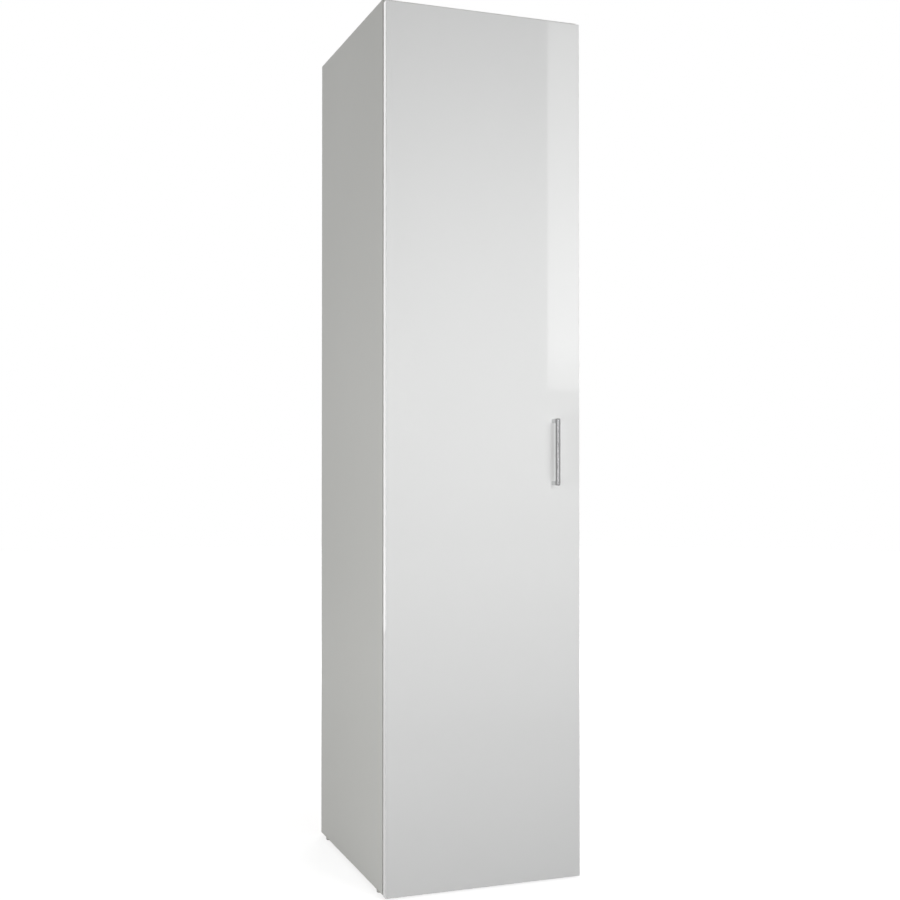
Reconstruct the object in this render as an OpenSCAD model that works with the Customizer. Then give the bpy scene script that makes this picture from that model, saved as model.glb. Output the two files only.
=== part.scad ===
// Single-door wardrobe in white melamine board with a gloss lacquered door.
// The door is as tall as the carcass and lies over its front edges. It hangs on the left on four
// concealed cup hinges, each a four-bar linkage, and opens with a bow handle on the right.
// Millimetres. X runs to the right, Y to the back and Z up. The origin is on the floor,
// at the middle of the whole depth from the handle to the back.

/* [Carcass] */
// outside width of the carcass
carcass_w = 468; // [400:1:600]
// height from the floor to the top edge
carcass_h = 1970; // [1800:5:2200]
// depth of the side panels
carcass_d = 522; // [420:1:600]
// thickness of the carcass boards
board = 16; // [15:1:19]
// height of the plinth board under the bottom panel
plinth_h = 60; // [40:1:64]
// distance from the front edges of the sides back to the plinth board
plinth_set = 22; // [8:1:40]
// height of the glides that carry the side panels
glide_h = 8; // [6:0.5:10]
// diameter of the glides
glide_d = 14; // [10:1:15]
// distance from the ends of a side panel to the middle of a glide
glide_in = 45; // [20:5:80]

/* [Back] */
// thickness of the hardboard back
back_t = 3; // [2.5:0.5:4]
// distance from the rear edges of the boards to the back
back_set = 10; // [8:1:14]
// depth of the groove that holds the back
groove_d = 6; // [5:0.5:8]
// height of the seam between the two back sheets, above the floor
seam_z = 1010; // [800:5:1200]
// depth of the slots in the joining strip
joiner_slot = 7; // [5:0.5:10]
// wall thickness of the joining strip
joiner_wall = 1.2; // [1:0.1:1.6]

/* [Inside] */
// clear height between the hat shelf and the top panel
hat_h = 300; // [240:32:336]
// distance from the hat shelf's front edge to the front of the carcass
shelf_set = 24; // [10:1:40]
// distance from the underside of the hat shelf down to the middle of the rail
rail_drop = 62; // [50:1:90]
// height of the oval rail
rail_h = 30; // [25:1:32]
// thickness of the oval rail
rail_t = 15; // [13:1:18]
// wall thickness of the rail tube
rail_wall = 1.2; // [0.8:0.1:1.6]
// diameter of the shelf pin holes
pin_d = 5; // [5:1:6]
// number of shelf pin holes in a row
pin_rows = 5; // [3:2:7]

/* [Door] */
// thickness of the door
door_t = 18; // [17:1:19]
// radius of the front edges of the door
door_soft = 1.2; // [0.5:0.1:3]
// gap between the door and the front edges of the carcass
door_gap = 2.5; // [2.5:0.1:3]
// distance that the door's long edges stay inside the carcass sides
side_reveal = 1; // [0.5:0.5:2]
// distance from the top of the carcass down to the top of the door
top_reveal = 8.5; // [2:0.5:10]
// distance that the door reaches below the lower ends of the sides
door_low = 3; // [0:0.5:4]
// thickness of the soft bumpers on the back of the door
bumper_t = 2; // [1.5:0.1:2.2]
// diameter of the bumpers
bumper_d = 10; // [8:1:12]

/* [Handle] */
// length of the bow handle over its legs
handle_l = 152; // [96:1:200]
// distance that the handle stands out from the door
handle_out = 32; // [26:1:40]
// width of the handle bar seen from the front
handle_w = 8; // [8:0.5:14]
// depth of the handle bar
handle_bar = 12; // [6:0.5:14]
// thickness of the handle legs
handle_leg = 10; // [8:0.5:12]
// radius of the handle's outer corners
handle_r = 3; // [2:0.5:6]
// radius of the long front edges of the handle bar
handle_soft = 2.5; // [0.5:0.1:3.5]
// distance from the door's free edge to the middle of the handle
handle_in = 66; // [40:1:90]
// distance from the door's middle down to the handle's middle
handle_low = 8; // [0:1:300]

/* [Hinges] */
// distance from the ends of the door to the middle of the outer hinges
hinge_end = 115; // [112:1:140]
// depth of the cup bore
cup_depth = 13; // [12.9:0.1:13.4]
// distance from the door's hinge edge to the cup bore
cup_edge = 4.5; // [4:0.1:5]
// wall thickness of the steel cup
cup_wall = 0.9; // [0.8:0.05:1]
// thickness of the cup's flange on the door
flange_t = 1; // [0.8:0.1:1.2]
// distance between the two screws of a cup
cup_screws_c = 48; // [48:0.5:52]
// distance from the front edge to the row of holes for the hinge plates
plate_row = 37; // [37:0.5:40]
// diameter of the hinge pins
hinge_pin = 2; // [1.8:0.1:2.1]
// sheet thickness of the long links
long_t = 1.3; // [1:0.05:1.4]
// width of the long links
long_w = 6.8; // [5:0.1:6.8]
// sheet thickness of the short links' cheeks
short_t = 1.6; // [1.2:0.1:1.7]
// width of the cheeks of the short links
short_w = 2.8; // [2:0.1:3]
// sheet thickness of the hinge arm
arm_t = 1.2; // [1:0.1:1.5]

/* [Fittings] */
// diameter of the cam housings
cam_d = 15; // [12:1:15]
// height of the cam housings
cam_h = 12.4; // [11:0.1:13]
// distance from the board's end to the middle of a cam
cam_in = 24; // [24:1:34]
// diameter of the wooden dowels
dowel_d = 8; // [6:1:8]
// length of the wooden dowels
dowel_l = 30; // [25:1:35]
// distance from the inside of a side panel to the middle of a wall bracket
bracket_in = 68; // [40:1:120]
// diameter of the wall screw hole in a bracket
bracket_hole = 5.5; // [4.5:0.5:6]
// sheet thickness of the wall brackets
bracket_t = 2; // [1.5:0.1:2.5]

/* [Hidden] */
$fn = 24;
// standard sizes: hole pitch, cup bore and the door's number of hinges
pitch = 32;
cup_d = 35;
hinges = 4;
// clearances: pins and screws in their holes, sheets in their grooves
snug = 0.05;
loose = 0.2;
eps = 0.01;
inner_w = carcass_w - 2 * board;
overall_d = carcass_d + door_gap + door_t + handle_out;
y_back = overall_d / 2;
y_front = y_back - carcass_d;
x_in = inner_w / 2;
z_low = glide_h;
z_top = carcass_h;
bottom_z = z_low + plinth_h;
floor_z = bottom_z + board;
ceil_z = z_top - board;
shelf_z = ceil_z - hat_h - board;
rail_z = shelf_z - rail_drop;
rail_y = y_front + carcass_d / 2;
groove_w = back_t + 2 * loose;
groove_y = y_back - back_set - groove_w;
sheet_y = groove_y + loose;
sheet_w = inner_w + 2 * (groove_d - 1);
bottom_d = groove_y - y_front;
shelf_d = groove_y - 2 - y_front - shelf_set;
// rows of holes for shelf pins
pin_front = 37;
pin_back = 60;
pin_in = 9;
pin_out = 8;
spoon_t = 2;
spoon_l = 14;
pin_y = [y_front + shelf_set + pin_front, groove_y - pin_back];
pin_z = shelf_z - spoon_t - pin_d / 2;
// door
door_w = carcass_w - 2 * side_reveal;
door_z = z_low - door_low;
door_h = z_top - top_reveal - door_z;
door_back = y_front - door_gap;
door_front = door_back - door_t;
handle_x = carcass_w / 2 - side_reveal - handle_in;
handle_z = door_z + door_h / 2 - handle_low;
handle_c = handle_l - handle_leg;
handle_fillet = 3;
bolt_d = 4;
bolt_hole = 4.6;
bolt_head = 8;
bolt_head_t = 1.8;
bolt_in = 12;
// hinge places: the outer ones from the ends of the door, the others at even distances
hinge_z = [for (i = [0 : hinges - 1])
    door_z + hinge_end + i * (door_h - 2 * hinge_end) / (hinges - 1)];
// the hinge in plan, from the inner face of the side panel (u) and its front edge (v)
strip = -board + side_reveal + cup_edge;
cup_r = cup_d / 2;
cup_u = strip + cup_r;
// arm pins: a1 carries the long link, a2 the short one
a1 = [12.5, 18.2];
a2 = [13.65, -1.5];
// cup pins: they lie in the cup, so they follow the cup and the back of the door
c1 = [strip + 4, -door_gap - 2.5];
c2 = c1 + [4, -2.5];
// the short link swings round a2 with this much play, because its true path isn't a circle
open_play = 1.35;
// bends of the links, as the swing past the edge of the cup asks
long_bend_1 = [3.8, 5.2];
long_bend_2 = [-0.5, -5.7];
short_bend = [5.9, -12.2];
eye_wall = 0.95;
open_eye = 2.95;
// the hinge across its width: long link, cheeks of the short link, cheeks of the arm
layer = 0.4;
long_half = long_w / 2;
short_in = 3.4 + layer;
arm_in = short_in + 1.7 + 0.3;
arm_out = arm_in + arm_t;
boss_in = 7.4;
cup_pin_half = 9;
arm_pin_half = arm_out + 0.6;
// arm and plate
arm_top = 17.6;
arm_low = 15.2;
arm_end = 62;
plate_top = arm_low - arm_t;
plate_foot = 2.2;
plate_half = arm_in - 0.4;
plate_wing = 24;
plate_hole = pitch / 2;
wood_screw = 3.5;
screw_head = 6.6;
adjust_v = 33;
lock_v = 52;
arm_flat = adjust_v - 5;
arm_rise = arm_flat - 7;
arm_screw = 5;
arm_head = 8;
screw_in = 8;
plate_screw_in = 13;
cup_screw_in = 12;
flange_r = cup_r + 2.5;
wing_r = 6;
wing_u = cup_u + 6;
// joint fittings
fit_front = 60;
fit_step = 32;
bolt_bore = 8;
cam_bolt_d = 5;
cam_bolt_in = 10;
cam_head = 6.6;
fit_y = [y_front + fit_front, groove_y - fit_front];
dowel_y = [y_front + fit_front + fit_step, groove_y - fit_front - fit_step];
end_z = [bottom_z + board / 2, ceil_z + board / 2];
cam_skin = board - cam_h;
dowel_side = 10;
plinth_dowel_z = [z_low + plinth_h / 2];
joiner_half = 1;
plinth_y = y_front + plinth_set;
bracket_w = 24;
bracket_x = x_in - bracket_in;
bracket_leg = 34;
bracket_wall_z = 22;
bracket_screw_y = 20;
bracket_screw_x = [-6, 6];
bracket_y = sheet_y - snug;
socket_t = 3;
socket_l = 13;
socket_wall = 2.2;
socket_screw = 22;
rail_screw_in = 12;

white = [0.93, 0.93, 0.92];
steel = [0.72, 0.73, 0.74];
chrome = [0.80, 0.81, 0.83];
wood_c = [0.80, 0.66, 0.46];
plastic_c = [0.90, 0.90, 0.88];

// a round bar or hole along X, Y or Z from a point
module bar_x(p, d, l) {
    translate(p) rotate([0, 90, 0]) cylinder(d = d, h = l);
}

module bar_y(p, d, l) {
    translate(p) rotate([-90, 0, 0]) cylinder(d = d, h = l);
}

module bar_z(p, d, l, f = 24) {
    translate(p) cylinder(d = d, h = l, $fn = f);
}

// countersunk screw standing on its tip's axis: head flush at z = 0, shank downwards
module sunk_screw(shank, head, length) {
    rotate_extrude($fn = 16)
        polygon([[0, 0], [head / 2, 0], [shank / 2, -(head - shank) / 2], [shank / 2, -length + 1.2],
            [0.4, -length], [0, -length]]);
}

// the hole that takes such a screw, with the countersink
module sunk_hole(shank, head, depth) {
    rotate_extrude($fn = 16)
        polygon([[0, 1], [head / 2 + snug, 1], [head / 2 + snug, 0],
            [shank / 2 + snug, -(head - shank) / 2], [shank / 2 + snug, -depth], [0, -depth]]);
}

// side panel, drawn as the left one: the outside lies at x = 0 and the inside at x = board
module side_panel() {
    h = z_top - z_low;
    difference() {
        translate([0, y_front, z_low]) cube([board, carcass_d, h]);
        // groove for the back, open at both ends
        translate([board - groove_d, groove_y, z_low - 1]) cube([groove_d + 1, groove_w, h + 2]);
        // top and bottom joints: screwed bolts and dowels
        for (z = end_z) {
            for (y = fit_y)
                bar_x([board - cam_bolt_in - 0.5, y, z], cam_bolt_d + 2 * snug, cam_bolt_in + 1.5, $fn = 16);
            for (y = dowel_y)
                bar_x([board - dowel_side, y, z], dowel_d + 2 * snug, dowel_side + 1);
        }
        // plinth board
        for (z = plinth_dowel_z)
            bar_x([board - dowel_side, plinth_y + board / 2, z], dowel_d + 2 * snug, dowel_side + 1);
        // two rows of holes for shelf pins, round the height of the hat shelf
        for (y = pin_y, k = [-(pin_rows - 1) / 2 : (pin_rows - 1) / 2])
            bar_x([board - pin_in - 0.5, y, pin_z + k * pitch], pin_d + 2 * snug, pin_in + 1.5, $fn = 16);
        // hinge plates, on both sides because the door can be hung left or right
        for (z = hinge_z, s = [-1, 1])
            bar_x([board - plate_screw_in - 1, y_front + plate_row, z + s * plate_hole],
                wood_screw + 2 * snug, plate_screw_in + 2, $fn = 16);
        // rail socket
        for (s = [-1, 1])
            bar_x([board - rail_screw_in - 1, rail_y, rail_z + s * socket_screw],
                wood_screw + 2 * snug, rail_screw_in + 2, $fn = 16);
    }
}

module side_panel_left() {
    color(white) translate([-carcass_w / 2, 0, 0]) side_panel();
}

module side_panel_right() {
    color(white) mirror([1, 0, 0]) translate([-carcass_w / 2, 0, 0]) side_panel();
}

// bores in the two ends of a board that lies between the sides, at height z
module end_bores(z, up) {
    for (s = [-1, 1]) {
        for (y = fit_y) {
            mirror([s > 0 ? 1 : 0, 0, 0]) bar_x([-x_in - 1, y, z], bolt_bore, cam_in + 1);
            translate([s * (x_in - cam_in), y, up > 0 ? z + board / 2 - cam_h : z - board / 2 - 1])
                cylinder(d = cam_d + 2 * snug, h = cam_h + 1);
        }
        for (y = dowel_y)
            mirror([s > 0 ? 1 : 0, 0, 0])
                bar_x([-x_in - 1, y, z], dowel_d + 2 * snug, dowel_l - dowel_side + 1.5);
    }
}

module top_panel() {
    color(white) difference() {
        translate([-x_in, y_front, ceil_z]) cube([inner_w, carcass_d, board]);
        translate([-x_in - 1, groove_y, ceil_z - 1]) cube([inner_w + 2, groove_w, groove_d + 1]);
        end_bores(ceil_z + board / 2, 1);
        // screws of the wall brackets
        for (s = [-1, 1], k = bracket_screw_x)
            bar_z([s * bracket_x + k, bracket_y - bracket_screw_y, ceil_z - 1],
                wood_screw + 2 * snug, 14, 16);
    }
}

module bottom_panel() {
    color(white) difference() {
        translate([-x_in, y_front, bottom_z]) cube([inner_w, bottom_d, board]);
        end_bores(bottom_z + board / 2, -1);
    }
}

module plinth_board() {
    color(white) difference() {
        translate([-x_in, plinth_y, z_low]) cube([inner_w, board, plinth_h]);
        for (s = [0, 1], z = plinth_dowel_z)
            mirror([s, 0, 0])
                bar_x([-x_in - 1, plinth_y + board / 2, z], dowel_d + 2 * snug, dowel_l - dowel_side + 1.5);
    }
}

module back_upper() {
    z0 = seam_z + joiner_half;
    color(white) difference() {
        translate([-sheet_w / 2, sheet_y, z0]) cube([sheet_w, back_t, ceil_z + groove_d - 1 - z0]);
        // wall screws pass through to the brackets
        for (s = [-1, 1])
            bar_y([s * bracket_x, sheet_y - 1, ceil_z - bracket_wall_z], bracket_hole + 3, back_t + 2);
    }
}

module back_lower() {
    color(white) translate([-sheet_w / 2, sheet_y, bottom_z])
        cube([sheet_w, back_t, seam_z - joiner_half - bottom_z]);
}

// plastic strip of H section that joins the two sheets
module back_joiner() {
    wide = back_t + 2 * loose + 2 * joiner_wall;
    tall = 2 * (joiner_slot + joiner_half - loose);
    color(plastic_c) translate([-x_in + 0.5, sheet_y - loose - joiner_wall, seam_z]) difference() {
        translate([0, 0, -tall / 2]) cube([inner_w - 1, wide, tall]);
        for (s = [0, 1])
            mirror([0, 0, s]) translate([-1, joiner_wall, joiner_half - loose])
                cube([inner_w + 1, back_t + 2 * loose, joiner_slot + 1]);
    }
}

module hat_shelf() {
    color(white) translate([-x_in + 0.5, y_front + shelf_set, shelf_z]) cube([inner_w - 1, shelf_d, board]);
}

// four pins with a flat spoon under the shelf
module shelf_pins() {
    color(steel) for (s = [0, 1], y = pin_y) mirror([s, 0, 0]) {
        bar_x([-x_in - pin_in, y, pin_z], pin_d, pin_in + pin_out, $fn = 16);
        bar_x([-x_in + snug, y, pin_z], pin_d + 3, 1.5, $fn = 16);
        translate([-x_in + snug, y - spoon_l / 2, shelf_z - spoon_t]) cube([pin_out, spoon_l, spoon_t]);
        translate([-x_in + snug, y - 0.8, pin_z]) cube([pin_out - 0.5, 1.6, pin_d / 2 + 0.5]);
    }
}

// outline of the oval rail, tall in Z
module oval(h, t) {
    square([t, h - t], center = true);
    for (s = [-1, 1]) translate([0, s * (h - t) / 2]) circle(d = t, $fn = 32);
}

module clothes_rail() {
    l = inner_w - 2 * (socket_t + 0.5);
    color(chrome) translate([-l / 2, rail_y, rail_z]) rotate([90, 0, 90]) linear_extrude(l) difference() {
        oval(rail_h, rail_t);
        oval(rail_h - 2 * rail_wall, rail_t - 2 * rail_wall);
    }
}

// cup for the end of the rail, with a screwed foot
module rail_socket() {
    translate([-x_in, rail_y, rail_z]) rotate([90, 0, 90]) difference() {
        union() {
            linear_extrude(socket_t) oval(2 * socket_screw + 14, 16);
            linear_extrude(socket_t + socket_l) oval(rail_h + 2 * socket_wall, rail_t + 2 * socket_wall);
        }
        translate([0, 0, socket_t]) linear_extrude(socket_l + 1) oval(rail_h + 2 * snug, rail_t + 2 * snug);
        for (s = [-1, 1])
            translate([0, s * socket_screw, socket_t]) sunk_hole(wood_screw, screw_head, socket_t + 1);
    }
}

module rail_socket_left() {
    color(chrome) rail_socket();
}

module rail_socket_right() {
    color(chrome) mirror([1, 0, 0]) rail_socket();
}

module rail_screws() {
    color(steel) for (m = [0, 1], s = [-1, 1]) mirror([m, 0, 0])
        translate([-x_in + socket_t, rail_y, rail_z + s * socket_screw]) rotate([0, 90, 0])
            sunk_screw(wood_screw, screw_head, socket_t + rail_screw_in);
}

// cam housing, drawn round its own middle with its open face up
module cam() {
    difference() {
        cylinder(d = cam_d, h = cam_h);
        // way of the bolt, and the jaw that its head turns in
        bar_x([-cam_d, 0, board / 2 - cam_skin], bolt_bore - 0.6, cam_d + 2.5, $fn = 16);
        // slot for the screwdriver
        translate([-5, -0.7, cam_h - 1.5]) cube([10, 1.4, 2]);
    }
}

module cam_fittings() {
    color(steel) for (m = [0, 1], y = fit_y) mirror([m, 0, 0]) {
        translate([-x_in + cam_in, y, z_top - cam_h]) cam();
        translate([-x_in + cam_in, y, bottom_z + cam_h]) rotate([180, 0, 0]) cam();
    }
}

// bolt that is screwed into the side and drawn in by the cam
module cam_bolts() {
    color(steel) for (m = [0, 1], y = fit_y, z = end_z) mirror([m, 0, 0]) {
        bar_x([-x_in - cam_bolt_in, y, z], cam_bolt_d, cam_bolt_in + cam_in, $fn = 16);
        bar_x([-x_in + snug, y, z], bolt_bore - 2 * snug, 3, $fn = 24);
        bar_x([-x_in + cam_in - 2, y, z], cam_head, 3.4, $fn = 16);
    }
}

module dowels() {
    color(wood_c) for (m = [0, 1], y = dowel_y, z = end_z) mirror([m, 0, 0])
        bar_x([-x_in - dowel_side + 0.2, y, z], dowel_d, dowel_l - 0.4);
}

module plinth_dowels() {
    color(wood_c) for (m = [0, 1], z = plinth_dowel_z) mirror([m, 0, 0])
        bar_x([-x_in - dowel_side + 0.2, plinth_y + board / 2, z], dowel_d, dowel_l - 0.4);
}

// glides under the ends of the side panels
module glides() {
    color(plastic_c) for (s = [-1, 1], y = [y_front + glide_in, y_back - glide_in])
        translate([s * (carcass_w / 2 - board / 2), y, 0]) rotate_extrude($fn = 24)
            polygon([[0, 0], [glide_d / 2 - 1, 0], [glide_d / 2, 1], [glide_d / 2, glide_h], [0, glide_h]]);
}

// steel angle under the top panel that takes the screw into the wall
module wall_bracket() {
    difference() {
        union() {
            translate([-bracket_w / 2, bracket_y - bracket_leg, ceil_z - bracket_t])
                cube([bracket_w, bracket_leg, bracket_t]);
            translate([-bracket_w / 2, bracket_y - bracket_t, ceil_z - bracket_leg])
                cube([bracket_w, bracket_t, bracket_leg]);
        }
        bar_y([0, bracket_y - bracket_t - 1, ceil_z - bracket_wall_z], bracket_hole, bracket_t + 2);
        for (k = bracket_screw_x)
            bar_z([k, bracket_y - bracket_screw_y, ceil_z - bracket_t - 1],
                wood_screw + 2 * snug, bracket_t + 2, 16);
    }
}

module wall_bracket_left() {
    color(steel) translate([-bracket_x, 0, 0]) wall_bracket();
}

module wall_bracket_right() {
    color(steel) translate([bracket_x, 0, 0]) wall_bracket();
}

module bracket_screws() {
    color(steel) for (s = [-1, 1], k = bracket_screw_x)
        translate([s * bracket_x + k, bracket_y - bracket_screw_y, ceil_z - bracket_t]) {
            translate([0, 0, -1.8]) cylinder(d = screw_head, h = 1.8, $fn = 16);
            cylinder(d = wood_screw, h = bracket_t + 12.5, $fn = 16);
        }
}

// puts a hinge part, drawn in plan as (u, v), at hinge i
module at_hinge(i) {
    translate([-x_in, y_front, hinge_z[i]]) children();
}

// flat part of the hinge in plan, from height z0 to z1
module slab(z0, z1) {
    translate([0, 0, z0]) linear_extrude(z1 - z0) children();
}

// strip of even thickness in plan from p to q
module strip_2d(p, q, t) {
    d = q - p;
    translate(p) rotate(atan2(d[1], d[0])) translate([0, -t / 2]) square([norm(d), t]);
}

module dot(p, d, f = 24) {
    translate(p) circle(d = d, $fn = f);
}

// cross-shaped mounting plate with the block that the arm sits on
module hinge_plate(i) {
    color(steel) at_hinge(i) difference() {
        union() {
            translate([0, plate_row - 7, -plate_wing]) cube([plate_foot, 14, 2 * plate_wing]);
            translate([0, plate_row - 15, -plate_half - 2]) cube([plate_foot + 1.4, 33, 2 * plate_half + 4]);
            slab(-plate_half, plate_half)
                polygon([[0, adjust_v - 8], [plate_top - 3, adjust_v - 8], [plate_top, adjust_v - 5],
                    [plate_top, lock_v + 6], [plate_top - 6, lock_v + 9], [0, lock_v + 9]]);
        }
        for (s = [-1, 1])
            translate([plate_foot, plate_row, s * plate_hole]) rotate([0, 90, 0])
                sunk_hole(wood_screw, screw_head, plate_foot + 1);
        for (v = [adjust_v, lock_v])
            bar_x([plate_top - screw_in - 0.5, v, 0], arm_screw + 2 * snug, screw_in + 1, $fn = 16);
    }
}

module hinge_plate_1() { hinge_plate(0); }
module hinge_plate_2() { hinge_plate(1); }
module hinge_plate_3() { hinge_plate(2); }
module hinge_plate_4() { hinge_plate(3); }

module plate_screws() {
    color(steel) for (i = [0 : hinges - 1], s = [-1, 1]) at_hinge(i)
        translate([plate_foot, plate_row, s * plate_hole]) rotate([0, 90, 0])
            sunk_screw(wood_screw, screw_head, plate_foot + plate_screw_in);
}

// side view of the arm: outline of one cheek
module cheek_2d() {
    dot(a2, 6);
    polygon([a2 + [-3, 0], [a1[0] - 3.5, a1[1] - 2], [arm_low - 5.6, arm_end - 3], [arm_low - 3, arm_end],
        [arm_low, arm_end], [arm_low, arm_flat], [arm_top, arm_rise], [arm_top, a2[1] + 4.6],
        a2 + [2.2, 2], a2]);
}

// stamped arm: a channel that is open towards the side panel, with both fixed pins in its nose
module hinge_arm(i) {
    color(chrome) at_hinge(i) difference() {
        union() {
            for (s = [0, 1]) mirror([0, 0, s]) slab(arm_in, arm_out) cheek_2d();
            slab(-arm_in - eps, arm_in + eps) {
                polygon([[arm_low, arm_end], [arm_low - arm_t, arm_end], [arm_low - arm_t, arm_flat - 0.4],
                    [arm_top - arm_t, arm_rise - 0.4], [arm_top - arm_t, a2[1] + 6], [arm_top, a2[1] + 6],
                    [arm_top, arm_rise], [arm_low, arm_flat]]);
            }
        }
        for (p = [a1, a2]) bar_z([p[0], p[1], -arm_out - 1], hinge_pin + 2 * snug, 2 * arm_out + 2, 16);
        for (v = [adjust_v, lock_v])
            bar_x([arm_low - arm_t - 1, v, 0], arm_screw + 1, arm_top, $fn = 16);
    }
}

module hinge_arm_1() { hinge_arm(0); }
module hinge_arm_2() { hinge_arm(1); }
module hinge_arm_3() { hinge_arm(2); }
module hinge_arm_4() { hinge_arm(3); }

// side adjusting screw and locking screw of each arm
module arm_screws() {
    color(steel) for (i = [0 : hinges - 1], v = [adjust_v, lock_v]) at_hinge(i) {
        bar_x([plate_top - screw_in, v, 0], arm_screw, screw_in + arm_t + 1, $fn = 16);
        bar_x([arm_low, v, 0], arm_head, 2, $fn = 16);
    }
}

module arm_pins() {
    color(steel) for (i = [0 : hinges - 1], p = [a1, a2]) at_hinge(i)
        bar_z([p[0], p[1], -arm_pin_half], hinge_pin, 2 * arm_pin_half, 16);
}

// long link: one gooseneck strip from the arm pin a1 to the cup pin c1
module long_link(i) {
    eye = hinge_pin + 2 * snug + 2 * eye_wall;
    color(steel) at_hinge(i) slab(-long_half, long_half) difference() {
        union() {
            dot(a1, eye);
            dot(c1, eye);
            strip_2d(a1, long_bend_1, long_t);
            strip_2d(long_bend_1, long_bend_2, long_t);
            strip_2d(long_bend_2, c1, long_t);
            dot(long_bend_1, long_t, 16);
            dot(long_bend_2, long_t, 16);
        }
        dot(a1, hinge_pin + 2 * snug, 16);
        dot(c1, hinge_pin + 2 * snug, 16);
    }
}

module long_link_1() { long_link(0); }
module long_link_2() { long_link(1); }
module long_link_3() { long_link(2); }
module long_link_4() { long_link(3); }

// short link: two cheeks with a web between them, from the arm pin a2 to the cup pin c2
module short_link(i) {
    eye = hinge_pin + 2 * snug + 2 * eye_wall;
    color(steel) at_hinge(i) {
        for (s = [0, 1]) mirror([0, 0, s]) slab(short_in, short_in + short_t) difference() {
            union() {
                dot(a2, 2 * open_eye);
                dot(c2, eye);
                strip_2d(a2, short_bend, short_w);
                strip_2d(short_bend, c2, short_w);
                dot(short_bend, short_w);
            }
            dot(a2, hinge_pin + 2 * open_play);
            dot(c2, hinge_pin + 2 * snug, 16);
        }
        slab(-short_in - eps, short_in + eps) dot(short_bend, short_w - 0.4);
    }
}

module short_link_1() { short_link(0); }
module short_link_2() { short_link(1); }
module short_link_3() { short_link(2); }
module short_link_4() { short_link(3); }

module door_panel() {
    color(white) difference() {
        intersection() {
            translate([0, door_front, door_z]) linear_extrude(door_h) round_front(door_w, door_t, door_soft);
            translate([door_w / 2, door_front, door_z + door_h / 2]) rotate([0, -90, 0])
                linear_extrude(door_w) round_front(door_h, door_t, door_soft);
        }
        for (i = [0 : hinges - 1]) at_hinge(i) {
            bar_y([cup_u, -door_gap - cup_depth, 0], cup_d, cup_depth + 1, $fn = 64);
            for (s = [-1, 1])
                bar_y([wing_u, -door_gap - cup_screw_in - 0.5, s * cup_screws_c / 2],
                    wood_screw + 2 * snug, cup_screw_in + 2, $fn = 16);
        }
        for (s = [-1, 1])
            bar_y([handle_x, door_front - 1, handle_z + s * handle_c / 2], bolt_hole, door_t + 2);
    }
}

// pressed cup: a round dish with a flange for two screws and two seats for the cup pins
module hinge_cup(i) {
    cup_out = cup_d - 2 * snug;
    color(chrome) at_hinge(i) difference() {
        union() {
            // dish
            difference() {
                bar_y([cup_u, -door_gap - cup_depth + snug, 0], cup_out, cup_depth - snug + eps, $fn = 64);
                bar_y([cup_u, -door_gap - cup_depth + snug + cup_wall, 0],
                    cup_out - 2 * cup_wall, cup_depth + 1, $fn = 64);
            }
            // flange and its wings
            difference() {
                union() {
                    bar_y([cup_u, -door_gap, 0], 2 * flange_r, flange_t, $fn = 64);
                    translate([wing_u - wing_r, -door_gap, -cup_screws_c / 2])
                        cube([2 * wing_r, flange_t, cup_screws_c]);
                    for (s = [-1, 1])
                        bar_y([wing_u, -door_gap, s * cup_screws_c / 2], 2 * wing_r, flange_t);
                }
                bar_y([cup_u, -door_gap - 1, 0], cup_out - 2 * cup_wall, flange_t + 2, $fn = 64);
            }
            // seats of the pins, one at each side of the dish
            intersection() {
                bar_y([cup_u, -door_gap - cup_depth + 2, 0], cup_out - cup_wall, cup_depth - 2.6, $fn = 64);
                for (s = [0, 1]) mirror([0, 0, s])
                    translate([c1[0] - 4, c2[1] - 2.6, boss_in]) cube([c2[0] - c1[0] + 7, 8, 10]);
            }
        }
        for (p = [c1, c2])
            bar_z([p[0], p[1], -cup_pin_half - snug], hinge_pin + 2 * snug, 2 * (cup_pin_half + snug), 16);
        for (s = [-1, 1])
            translate([wing_u, -door_gap + flange_t, s * cup_screws_c / 2]) rotate([-90, 0, 0])
                sunk_hole(wood_screw, screw_head - 1, flange_t + 1);
    }
}

module hinge_cup_1() { hinge_cup(0); }
module hinge_cup_2() { hinge_cup(1); }
module hinge_cup_3() { hinge_cup(2); }
module hinge_cup_4() { hinge_cup(3); }

module cup_pins() {
    color(steel) for (i = [0 : hinges - 1], p = [c1, c2]) at_hinge(i)
        bar_z([p[0], p[1], -cup_pin_half], hinge_pin, 2 * cup_pin_half, 16);
}

module cup_screws() {
    color(steel) for (i = [0 : hinges - 1], s = [-1, 1]) at_hinge(i)
        translate([wing_u, -door_gap + flange_t, s * cup_screws_c / 2]) rotate([-90, 0, 0])
            sunk_screw(wood_screw, screw_head - 1, flange_t + cup_screw_in);
}

// side view of the bow handle: y runs from the tip back to the door, z along the bar
module bow_2d() {
    gap = handle_l - 2 * handle_leg;
    difference() {
        union() {
            translate([handle_r, -handle_l / 2]) square([handle_out - handle_r, handle_l]);
            translate([0, -handle_l / 2 + handle_r]) square([handle_r + eps, handle_l - 2 * handle_r]);
            for (s = [-1, 1])
                translate([handle_r, s * (handle_l / 2 - handle_r)]) circle(r = handle_r, $fn = 32);
        }
        translate([handle_bar + handle_fillet, -gap / 2]) square([handle_out, gap]);
        translate([handle_bar, -gap / 2 + handle_fillet]) square([handle_out, gap - 2 * handle_fillet]);
        for (s = [-1, 1])
            translate([handle_bar + handle_fillet, s * (gap / 2 - handle_fillet)])
                circle(r = handle_fillet, $fn = 24);
    }
}

// outline w wide and d deep whose two front corners are round
module round_front(w, d, r) {
    translate([-w / 2, r]) square([w, d - r]);
    translate([-w / 2 + r, 0]) square([w - 2 * r, d]);
    for (s = [-1, 1]) translate([s * (w / 2 - r), r]) circle(r = r, $fn = 24);
}

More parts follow.
